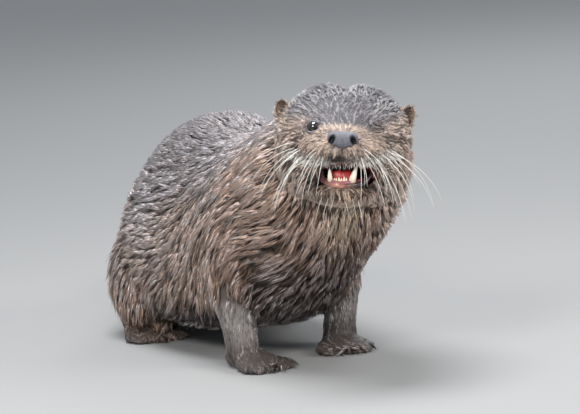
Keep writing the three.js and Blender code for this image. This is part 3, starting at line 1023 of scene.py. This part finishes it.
def layFields(mesh):
    # Everything the coat needs to know at each point of the skin, smoothed over its neighbours.
    points, normals = pointsOf(mesh), pointsOf(mesh, "normal")
    part, _, _, ahead = locate(points)
    on, local = partTest(part), toHead(points)
    lie = unit(lieOf(points, on, ahead, normals, local))
    smoothed = relax(np.column_stack([lie, hairSizes(points, on, local, normals)]), mesh, 24)
    lie, length, depth = smoothed[:, :3], smoothed[:, 3], smoothed[:, 4]
    crown = bump(local, (0, 5, 34), (44, 34, 26))[:, None]
    lie = lie + ripples(points, 0.05, (21, 22, 23)) * 0.16 + ripples(local, 22, (24, 25, 26)) * crown * 0.55
    onHead = on("skull", "jaw")
    ontoNeck = ramp(-points[:, 1], 0.12, 0.2)
    mouth, nearEyes = mouthFill(local), sum(nearEye(local, eye) for eye in bothEyes)
    lids = np.minimum(*(lidPlace(local, eye)[0] for eye in bothEyes))
    sole = (points[:, 2] < 0.004) & on("forefoot", "hindfoot") & (normals[:, 2] < -0.3)
    onPad = ((local - nose["at"]) / (nose["half"][0] - 1, 9, nose["half"][2] - 1)) ** 2
    bare = (mouth < 1.1) | (lids < 1.18) & (nearEyes > 0.4) | sole | (onPad.sum(1) < 1)
    return {
        "points": points, "normals": normals, "part": part, "length": length, "depth": depth,
        "lie": unit(lie - normals * (lie * normals).sum(1)[:, None]),
        "tone": relax(paint(points, on, normals, local), mesh, 2),
        "bare": bare * 1.0, "mouth": mouth, "nearEyes": nearEyes,
        "speckle": onHead * ramp(-local[:, 1], 46, 62) * ramp(8 - local[:, 2], 0, 5),
        "contrast": 1 - ramp(normals[:, 2], 0.1, 0.75) * np.where(onHead, 0.62, 0.82 - 0.66 * ontoNeck),
    }


def sinkSkin(mesh, fields):
    # The skin lies inside the animal's outline by the depth of its coat; then the lids are formed.
    points = fields["points"] - fields["normals"] * (fields["depth"] * mm)[:, None]
    fields["points"] = aboveFloor(shapeLids(points), skin["clear"][1])
    movePoints(mesh, fields["points"])
    fields["normals"] = pointsOf(mesh, "normal")


def pieceOf(points, part, normals):
    # Which piece of the coat a place on the skin belongs to: the last of these whose test it passes.
    x, y, z = points.T
    on, local = partTest(part), toHead(points)
    onHead = (local[:, 1] < 28) & on("skull", "jaw")
    tests = {
        "flank_right": x <= 0,
        "flank_left": x > 0,
        "rump": y > -0.02,
        "shoulder": y < -0.13,
        "belly": (normals[:, 2] < -0.45) & (z < 0.09) & (y > -0.2),
        "neck": (local[:, 1] < 95) & (y < -0.19) & on("trunk", "skull", "jaw"),
        "tail": on("tail"),
        "legs": on("shank", "forefoot", "hindfoot") | on("foreleg") & (z < 0.075),
        "head_right": onHead & (local[:, 0] < 0),
        "head_left": onHead & (local[:, 0] >= 0),
    }
    numbers = {name: number for number, name in enumerate(coat["pieces"])}
    choice = np.zeros(len(points), int)
    for name, passed in tests.items():
        choice[passed] = numbers["coat_" + name]
    return choice


def scatter(draw, clumps, chosen, fields, triangles, areas):
    # Draws a triangle for each clump by its area, more often where the hair is short, and a place on it.
    # What it gives reads a field at those places.
    short = 1 / np.maximum(fields["length"][triangles[chosen]].mean(1), 2.4) ** 1.2
    grown = 1 - fields["bare"][triangles[chosen]].max(1)
    weight = areas[chosen] * short * grown
    picked = chosen[draw.choice(len(chosen), clumps, p=weight / weight.sum())]
    u = draw.random((clumps, 2))
    u = np.where(u.sum(1, keepdims=True) > 1, 1 - u, u)
    corner = np.column_stack([1 - u.sum(1), u])

    def at(field):
        values = fields[field][triangles[picked]]
        return (values * (corner[:, :, None] if values.ndim == 3 else corner)).sum(1)
    return at


def addBakeMap(piece, part, share, angle, jitter):
    # Each part has a column of the map; a blade lies in it by the angle round and the share along.
    columns, column = np.unique(part, return_inverse=True)
    place = np.column_stack([(column + 0.02 + angle * 0.96) / len(columns), 0.01 + share * 0.98])
    blade = np.array([[0, -0.5], [-0.4, 0], [0.4, 0], [0, 0.1], [0, 0.5]]) * 0.003
    laid = (place[:, None, None] + jitter[:, :, None] + blade).reshape(-1, 2)
    corners = readOut(piece.data.loops, "vertex_index", 1).ravel()
    layer = piece.data.uv_layers.new(name="OFBake")
    layer.data.foreach_set("uv", np.clip(laid[corners], 0, 1).astype(np.float32).ravel())


def growCoat(name, chosen, fields, triangles, areas, seed):
    # A clump's hairs start around one place and lean together. Each is a closed blade: a point under
    # the skin, a three-cornered ring, and a tip at the outside of the coat.
    _, clumps, members, lockWidth = coat["pieces"][name]
    draw = np.random.default_rng(seed)
    at = scatter(draw, clumps, chosen, fields, triangles, areas)
    root, normal, lie = at("points"), unit(at("normals")), at("lie")
    length, depth, tone, contrast = at("length"), at("depth"), at("tone"), at("contrast")
    lie = unit(lie - normal * (lie * normal).sum(1)[:, None])
    alone, together, over = coat["swing"]
    swing = draw.normal(0, alone, clumps) + ripple(root, over, 31) * together
    across = np.cross(normal, lie)
    lie = unit(lie * np.cos(swing)[:, None] + across * np.sin(swing)[:, None])
    across = np.cross(normal, lie)
    gather, higher, lighter, darker = coat["locks"]
    width = lockWidth * mm
    aside = across * width * 0.4
    slope = streaks(root + aside, lie, width) - streaks(root - aside, lie, width)
    root = root + across * (gather * width * 0.5 * np.tanh(slope))[:, None]
    lock = np.clip(streaks(root, lie, width), -1.6, 1.6) * contrast
    part, share, angle, _ = locate(root)

    shape = (clumps, members)
    away, turn = np.sqrt(draw.random(shape)), draw.uniform(0, 2 * np.pi, shape)
    least, growing = coat["spread"]
    spread = (growing * length + least)[:, None]
    a, b = away * np.cos(turn) * spread * 2.4, away * np.sin(turn) * spread
    edge = (away * np.sin(turn)) ** 2
    long = length[:, None] * draw.uniform(*coat["lengths"], shape)
    thick, widening = coat["width"]
    width = (thick + widening * length[:, None]) * draw.uniform(*coat["widths"], shape)
    portion, low, dark = coat["sunken"]
    sunken = draw.random(clumps) < portion
    high = np.where(sunken, low, draw.uniform(*coat["heights"], clumps))
    lift = (np.maximum(depth, 0.5) * high * (0.9 + higher * lock))[:, None] * (1 - 0.5 * edge)
    t = np.array([0, 0.4, 1.0])
    reach = a[..., None] + long[..., None] * t
    stray = draw.normal(0, coat["stray"], shape) * long
    lean = b[..., None] * (1 - coat["converge"] * t ** 1.2) + stray[..., None] * t ** 2
    rise = -0.4 + (lift[..., None] + 0.4) * np.sin(np.pi / 2 * np.minimum(t * 1.3, 1.0))
    moves = zip((reach, lean, rise), (lie, across, normal))
    centre = root[:, None, None] + mm * sum(far[..., None] * axis[:, None, None] for far, axis in moves)
    wide = (width * mm)[..., None] * across[:, None] / 2
    ridge = (width * mm)[..., None] * normal[:, None] * 0.45
    start, ring, tip = (centre[:, :, k] for k in range(3))
    points = np.stack([start, ring - wide, ring + wide, ring + ridge, tip], 2).reshape(-1, 3)
    faces = np.array([[0, 1, 3], [0, 3, 2], [0, 2, 1], [1, 4, 3], [3, 4, 2], [2, 4, 1]])
    faces = (faces + (np.arange(clumps * members) * 5)[:, None, None]).reshape(-1, 3)
    piece = meshObject(name, aboveFloor(points, skin["clear"][0]), np.empty((0, 4), int), faces)

    betweenClumps, betweenHairs = coat["uneven"]
    # Sunken clumps darker as painted shade; otherwise clumps vary at random.
    shade = np.exp(draw.normal(0, betweenClumps, clumps)) * np.where(sunken, dark, 1.1)
    # Raised locks brighter as a painted highlight and the gaps between them darker as painted shade; the
    # spots are the muzzle's own speckles.
    spots = at("speckle") * ramp(ripple(toHead(root), 3.1, 8), 0.05, 0.4)
    shade = shade ** contrast * np.exp(np.where(lock > 0, lighter, darker) * lock) * (1 - 0.85 * spots)
    # Hairs at a clump's edge darker and in its middle brighter, as painted shade and highlight on the
    # ridge; the rest varies at random.
    shade = shade[:, None] * np.exp(draw.normal(0, betweenHairs, shape)) * (1.25 - 0.85 * edge)
    # Painted shade at the root of each hair, painted highlight at its tip.
    light = coat["rootShade"] + (coat["tipShade"] - coat["rootShade"]) * t[[0, 1, 1, 1, 2]]
    # Painted highlight: some hairs, most on upward-facing fur, and the raised locks turn towards the pale
    # blue of the sky reflected in wet hair.
    portion, turned, washed, shine = coat["shining"]
    full = np.minimum(length / 10, 1)
    shiny = portion * full * (0.35 + 0.65 * ramp(normal[:, 2], -0.3, 0.6)) * ~sunken
    shiny = draw.random(shape) < shiny[:, None]
    wet = (turned * shiny + (washed * np.maximum(lock, 0) * full)[:, None])[..., None]
    tint = mix(tone[:, None], np.array(shine), wet)[:, :, None] * shade[..., None, None] * light[:, None]
    tint = tint / np.maximum(tint.max(-1, keepdims=True) / coat["brightest"], 1)

    addBakeMap(piece, part, share, angle, np.stack([b, a], -1) / spread[..., None] * 0.002)
    return piece, tint.reshape(-1, 3)


def material(name, roughness, grain=(300, 0.25), pores=(900, 0.0), **sockets):
    # Colour from the piece's own tint, mottled by noise on the object's coordinates, which also
    # roughens the surface. Each noise has a scale and a strength; that of the pores raises the surface.
    made = bpy.data.materials.new(name)
    made.use_nodes = True
    nodes, links = made.node_tree.nodes, made.node_tree.links

    def fill(node, inputs):
        for socket, value in inputs.items():
            place = node.inputs[socket.replace("_", " ")]
            if isinstance(value, bpy.types.NodeSocket):
                links.new(value, place)
            else:
                place.default_value = value

    def add(kind, output, settings, **inputs):
        node = nodes.new("ShaderNode" + kind)
        for setting, value in settings.items():
            setattr(node, setting, value)
        fill(node, inputs)
        return node.outputs[output]

    place = add("TexCoord", "Object", {})
    noise = add("TexNoise", "Fac", {}, Scale=grain[0], Detail=4, Vector=place)
    tint = add("Attribute", "Color", {"attribute_name": "tint"})
    dim = add("MapRange", "Result", {}, To_Min=1 - grain[1], To_Max=1 + grain[1], Value=noise)
    sockets["Base_Color"] = add("VectorMath", "Vector", {"operation": "SCALE"}, Vector=tint, Scale=dim)
    least, most = roughness * 0.82, min(roughness * 1.18, 1)
    sockets["Roughness"] = add("MapRange", "Result", {}, To_Min=least, To_Max=most, Value=noise)
    if pores[1]:
        holes = add("TexNoise", "Fac", {}, Scale=pores[0], Detail=3, Vector=place)
        sockets["Normal"] = add("Bump", "Normal", {}, Strength=pores[1], Distance=0.0006, Height=holes)
    fill(nodes["Principled BSDF"], sockets)
    return made


skinMaterial = material("damp skin", 0.5, pores=(1400, 0.5))
coatMaterial = material("wet fur", 0.4, (90, 0.16), Specular_IOR_Level=0.6)
eyeMaterial = material("eye", 0.04, (500, 0.1), Coat_Weight=1.0, Coat_Roughness=0.02)
noseMaterial = material("nose skin", 0.42, (500, 0.12), (2600, 0.6))
fleshMaterial = material("wet flesh", 0.22, (350, 0.22), (1500, 0.35), Subsurface_Weight=0.15)
toothMaterial = material("tooth", 0.25, (220, 0.1), (700, 0.1))
clawMaterial = material("claw", 0.35, (250, 0.25), (900, 0.2))
whiskerMaterial = material("whisker", 0.4, (60, 0.08))


def keep(piece, tones, slot, finish, *nodes):
    # The piece takes its colours, moves with the animal and stands for the solids named.
    layer = piece.data.attributes.new("tint", "FLOAT_COLOR", "POINT")
    rgba = np.column_stack([np.clip(tones, 0, 1), np.ones(len(tones))])
    layer.data.foreach_set("color", rgba.astype(np.float32).ravel())
    piece.data.materials.clear()
    piece.data.materials.append(finish)
    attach(piece, "root")
    if nodes:
        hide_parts(*nodes)


def localOf(piece):
    return toHead(pointsOf(piece.data))


skinPiece = makeSkin()
print("skin shaped:", len(skinPiece.data.polygons), "faces")
shapeFace(skinPiece.data)
for eye in bothEyes:
    centre, _, _, gaze = eyeAxes(eye)
    for reach in (13, 9):
        refine(skinPiece.data, fromHead(centre + gaze * 5), reach * mm)
skinPiece = joined("skin", [skinPiece, headObject("ears", [earGrid(side) for side in (-1, 1)])])
fields = layFields(skinPiece.data)
sinkSkin(skinPiece.data, fields)
skinPiece.data.calc_loop_triangles()
print("skin sunk below the coat:", len(skinPiece.data.loop_triangles), "triangles")


def paintSkin():
    # Darker than the coat over it, partly the skin's own colour and partly painted shade, most of all under
    # long hair; then the mouth, darker towards its back as painted shade, and the lids are laid on.
    local = toHead(fields["points"])
    layers = [("forehead", ramp(fields["nearEyes"], 0.45, 0.6), 0.8)]
    for eye in bothEyes:
        q, _, b, _ = lidPlace(local, eye)
        near = nearEye(local, eye) > 0.4
        lid = ramp(1.5 - q, 0, 0.15) * near * eye["rim"] * (0.4 + 0.6 * (b < 0))
        layers += [("eyelid", lid, 1), ("eyeRim", ramp(1.16 - q, 0, 0.12) * near, 1)]
    # Inside the mouth, darker towards its back as painted shade.
    inside = ramp(1.16 - fields["mouth"], 0, 0.08) * ramp(-local[:, 1], 10, 22)
    layers += [("mouth", inside, 1), ("wetLipAndShade", inside * ramp(52 + local[:, 1], 0, 28), 1)]
    # painted shade under the hair, deepest under long hair
    most, less = skin["shade"]
    return painted(fields["tone"] * (most - less * ramp(fields["length"], 4, 11))[:, None], layers)


skinPiece.data.polygons.foreach_set("use_smooth", np.ones(len(skinPiece.data.polygons), bool))
flesh = [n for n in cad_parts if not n.startswith(("eye_", "nose", "tongue"))]
keep(skinPiece, paintSkin(), "body_coat", skinMaterial, *flesh)


def makeCoat():
    triangles = readOut(skinPiece.data.loop_triangles, "vertices", 3)
    corners = fields["points"][triangles]
    sides = corners[:, 1:] - corners[:, :1]
    areas = np.linalg.norm(np.cross(sides[:, 0], sides[:, 1]), axis=1) / 2
    owner = pieceOf(corners.mean(1), fields["part"][triangles[:, 0]], fields["normals"][triangles].mean(1))
    total = 0
    for number, (name, (slot, *_)) in enumerate(coat["pieces"].items()):
        chosen = np.flatnonzero(owner == number)
        piece, tint = growCoat(name, chosen, fields, triangles, areas, coat["seed"] + number)
        keep(piece, tint, slot, coatMaterial)
        count = len(piece.data.polygons)
        total += count
        print(name, count, "faces over", round(areas[chosen].sum() * 1e4), "square cm")
    print("coat:", total, "faces")


def makeEyes():
    # A ball that swells a little at the cornea; rings of colour by the angle from the gaze.
    grids, tones = [], []
    for eye in bothEyes:
        centre, *axes = eyeAxes(eye)
        shape = ball(48, 48)
        angle = np.arccos(np.clip(shape[..., 2], -1, 1))
        swell = 1 + 0.05 * bell(angle, 0.55)
        grids.append(centre + shape @ np.stack(axes) * (eyes["radius"] * swell)[..., None])
        (first, full), (fading, last) = eyes["ring"]
        iris = (ramp(angle, first, full) * ramp(last - angle, 0, last - fading))[..., None]
        tone = mix(color(*eyes["pupil"]), color(*eyes["iris"]), iris)
        tones += [tone.reshape(-1, 3), tone[0, :1], tone[-1, :1]]
    keep(headObject("eyes", grids), np.vstack(tones), "eyes", eyeMaterial, "eye_right", "eye_left")


def makeNose():
    # A pad with a flat top, narrowing below to a point over the lip. Its outline is a rounded square
    # scaled by the width left at each height, its front a flattened dome, with a pit for each nostril.
    wide, out, high = nose["half"]
    holeAcross, holeUp = nose["nostril"]
    halfAcross, halfUp = nose["nostrilHalf"]
    x, y, z = np.moveaxis(ball(90, 108)[..., [0, 2, 1]], -1, 0)
    around = np.hypot(x, z)
    square = np.where(z > 0, *nose["square"])
    reach = around / (np.abs(x / around) ** square + np.abs(z / around) ** square) ** (1 / square)
    rise = reach * z / around * np.where(z > 0, high, high * nose["below"])
    across = reach * x / around * wide * (1 - nose["narrow"] * ramp(-rise, 2.5, high * nose["below"] + 0.5))
    front = power(y, nose["flat"]) * out + 0.7 * bell(across, 0.8) * ramp(-rise, -1, 3)
    for side in (-1, 1):
        u = (across - side * holeAcross) * side + 0.25 * (rise - holeUp)
        away = np.hypot(u / halfAcross, (rise - holeUp) / halfUp)
        front = front + (y < 0) * (nose["deep"] * np.exp(-away ** 4) - 0.5 * bell(away - 1.55, 0.35))
    shape = np.stack([across, front, rise], -1) + np.array(nose["at"])
    piece = headObject("nose_pad", [shape])
    u, _, v = (localOf(piece) - nose["at"]).T
    u, v = np.abs(u) - holeAcross, v - holeUp
    # The nostril pits near black as painted shade, and the pad darker towards its bottom as painted shade.
    dark = np.exp(-np.hypot((u + 0.25 * v) / halfAcross, v / halfUp) ** 6)
    tone = mix(color(*nose["tone"]), color(*nose["inside"]), dark[:, None])
    keep(piece, tone * (1 - 0.35 * ramp(-v, 1, 7))[:, None], "nose_skin", noseMaterial, "nose")


mouth = {
    "tongue": [
        [2, -32, -36, 7.4, 2, 2.8], [1, -44, -33.5, 11.5, 3.6, 6],
        [1, -57, -31.5, 11, 6, 7], [1, -65, -32, 7.5, 5, 5],
    ],
    # from the right corner of the mouth to the left: x, y, z, radius
    "lowerLip": [
        [-15.5, -60, -27, 1.3], [-14.5, -63, -33, 1.7], [-10, -68.5, -37.8, 2.1], [0, -73.2, -39, 2.3],
        [11, -68.5, -38.2, 2.1], [19, -62, -35, 1.9], [25, -56, -28, 1.5],
    ],
    "gum": [
        [-17, -48, -33, 1.6], [-13.5, -58, -35.5, 2.5], [-8.6, -65.5, -36.6, 3.2], [0, -69.4, -37, 2.8],
        [8.6, -65.5, -36.6, 3.2], [14, -58, -35.5, 2.6], [21, -48, -33, 2.0],
    ],
    "canines": [
        {"root": (-8.4, -65.5, -37), "tip": (-9.6, -69.5, -25.2), "radius": 2.3, "hook": 1.2},
        {"root": (8.2, -65.5, -37), "tip": (12.2, -70, -22.2), "radius": 2.9, "hook": 1.6},
    ],
    "incisors": {"count": 6, "apart": 1.9, "at": (-0.6, -69.8, -37), "high": 5.4, "radius": 1.12},
    "seed": 17,
    "tones": {
        "tongue": (196, 74, 74), "gum": (150, 92, 108), "lip": (204, 138, 122), "lipDark": (52, 40, 42),
        "tooth": (244, 238, 220),
    },
    # how much red, green and blue the roots of the teeth lose
    "stain": (0.1, 0.25, 0.45),
}


def toothGrid(root, tip, radius, hook):
    # A cone along an arc: its middle stands back from the straight line by the hook.
    t = np.linspace(0, 1, 12)[:, None]
    root, tip = np.array(root, float), np.array(tip, float)
    line = root + (tip - root) * t + np.array([0, -hook, 0]) * np.sin(np.pi * t)
    return cord(line, radius * (1 - t ** 1.6) ** 0.75 + 0.12, 14, 16, forward)


def makeMouth():
    tones = {name: color(*tone) for name, tone in mouth["tones"].items()}
    draw = np.random.default_rng(mouth["seed"])
    teeth = [toothGrid(**canine) for canine in mouth["canines"]]
    row = mouth["incisors"]
    for i in range(row["count"]):
        x = (i - (row["count"] - 1) / 2) * row["apart"]
        root = np.array(row["at"]) + (x, x * x / 18, 0)
        tip = root + (draw.normal(0, 0.3), -1.2, row["high"] * draw.uniform(0.75, 1.05))
        teeth.append(toothGrid(root, tip, row["radius"] * draw.uniform(0.85, 1.1), 0.3))
    piece = headObject("lower_teeth", teeth)
    stain = ramp(-localOf(piece)[:, 2], 31, 37)[:, None]
    tone = tones["tooth"] * (1 - stain * mouth["stain"])
    keep(piece, tone, "mouth_flesh", toothMaterial, "lower_jaw")

    grid = tube(mouth["tongue"], 60, 56)
    grid[..., 2] -= bell(grid[..., 0] - 1, 2.2) * (grid[..., 2] > -34) * 1.2
    piece = headObject("tongue_flesh", [grid])
    wave = ripple(localOf(piece), 5, 14)[:, None]
    keep(piece, tones["tongue"] * (1 + 0.2 * wave), "mouth_flesh", fleshMaterial, "tongue")

    for name, pieceName in (("lowerLip", "lower_lip"), ("gum", "gum")):
        rows = np.array(mouth[name], float)
        grid = cord(rows[:, :3], rows[:, 3], 130, 28, upward)
        wave = ripple(grid.reshape(-1, 3), 5, 19).reshape(*grid.shape[:2], 1)
        piece = headObject(pieceName, [grid + wave * np.array([0, -0.35, 0.45])])
        local = localOf(piece)
        patchy = ramp(ripple(local, 7, 41), -0.5, 0.6)[:, None]
        pink = bump(local, (-3, -74, -39), (9, 12, 8))[:, None] * (0.45 + 0.55 * patchy)
        lip = mix(tones["lipDark"], tones["lip"], pink)
        shade = tones["gum"] * (0.75 + 0.5 * patchy) if name == "gum" else lip
        keep(piece, shade, "mouth_flesh", fleshMaterial)


def makeClaws():
    piece = gridsObject("claws", clawGrids)
    tone = color(*feet["claw"]["tone"]) * (1 + 0.5 * ripple(pointsOf(piece.data), 0.01, 5)[:, None])
    keep(piece, tone, "feet", clawMaterial)


whiskers = {
    "seed": 5,
    "rows": 5,
    "columns": 4,
    "thick": 0.21,
    "longest": 72,
    "tone": (226, 222, 214),
    # bristles along the edge of the upper lip: how many, their shortest and longest, and how thick
    "fringe": (150, 3.5, 6.5, 0.17),
}


def whiskerGrid(root, start, end, length, thick, along=16, around=6):
    # The tip of a hair goes the way of a mix that turns from its start to its end direction.
    t = np.linspace(0, 1, along)[:, None]
    steps = unit(mix(unit(np.array(start, float)), unit(np.array(end, float)), t))
    line = np.asarray(root) + np.cumsum(steps, 0) * length / along
    return cord(line, thick * (1 - t) ** 0.6 + 0.05, along, around, (0.05, -1, 0.1))


def fringeGrids(draw):
    # Each bristle stands on the point of the skin nearest to its place along the lip's edge.
    count, shortest, longest, thick = whiskers["fringe"]
    skinLocal = toHead(fields["points"])
    skinLocal = skinLocal[skinLocal[:, 1] < -42]
    grids = []
    for x in np.linspace(-42, 38, count):
        height = lipHeight(x) + draw.uniform(0.2, 3.0)
        root = skinLocal[np.hypot(skinLocal[:, 0] - x, skinLocal[:, 2] - height).argmin()]
        lean = 0.02 * x + draw.normal(0, 0.15)
        length = draw.uniform(shortest, longest)
        grids.append(whiskerGrid(root, (lean, -0.7, -0.8), (lean, -0.1, -1), length, thick, 6, 4))
    return grids


def makeWhiskers():
    # Rows on each whisker pad, longest at the back, that sweep out and hang down at their tips; then
    # a few short ones over the eyes and under the chin.
    draw = np.random.default_rng(whiskers["seed"])
    grids = []
    for side in (-1, 1):
        for r, c in np.ndindex(whiskers["rows"], whiskers["columns"]):
            back, low = c / (whiskers["columns"] - 1), r / (whiskers["rows"] - 1)
            root = np.array([side * (15 + 19 * back), -82 + 25 * back, -7 - 12 * low + 2 * back])
            root += draw.normal(0, 1.0, 3)
            length = whiskers["longest"] * (0.5 + 0.5 * back) * draw.uniform(0.7, 1.05)
            out = 0.7 + 0.35 * back - 0.4 * low + draw.normal(0, 0.14)
            start = np.array([side * out, -0.5 + 0.6 * back, -0.3 - 0.5 * low]) + draw.normal(0, 0.1, 3)
            end = np.array([side * out * 0.35, 0.3, -0.9 - 0.6 * low]) + draw.normal(0, 0.13, 3)
            thick = whiskers["thick"] * draw.uniform(0.75, 1.15)
            grids.append(whiskerGrid(root, start, end, length, thick))
        for k in range(3):
            root = np.array([side * (21 + 3 * k), -51 + 3 * k, 19 + draw.normal(0, 1)])
            start = (side * (0.4 + 0.2 * k), -0.5, 0.9)
            grids.append(whiskerGrid(root, start, (side * 1.1, 0.3, 0.6), 9 + 3 * k, 0.1))
            root = np.array([side * (4 + 5 * k), -69 + 4 * k, -48 + draw.normal(0, 1)])
            start = (side * 0.2, -0.6 + draw.normal(0, 0.2), -0.6)
            grids.append(whiskerGrid(root, start, (side * 0.2, 0.5, -1), 16 + 4 * k, 0.16))
    piece = headObject("whiskers", grids + fringeGrids(draw))
    tone = np.tile(color(*whiskers["tone"]), (len(piece.data.vertices), 1))
    keep(piece, tone, "head_coat", whiskerMaterial)


makeCoat()
makeEyes()
makeNose()
makeMouth()
makeClaws()
makeWhiskers()
print("face, mouth, claws and whiskers ready")
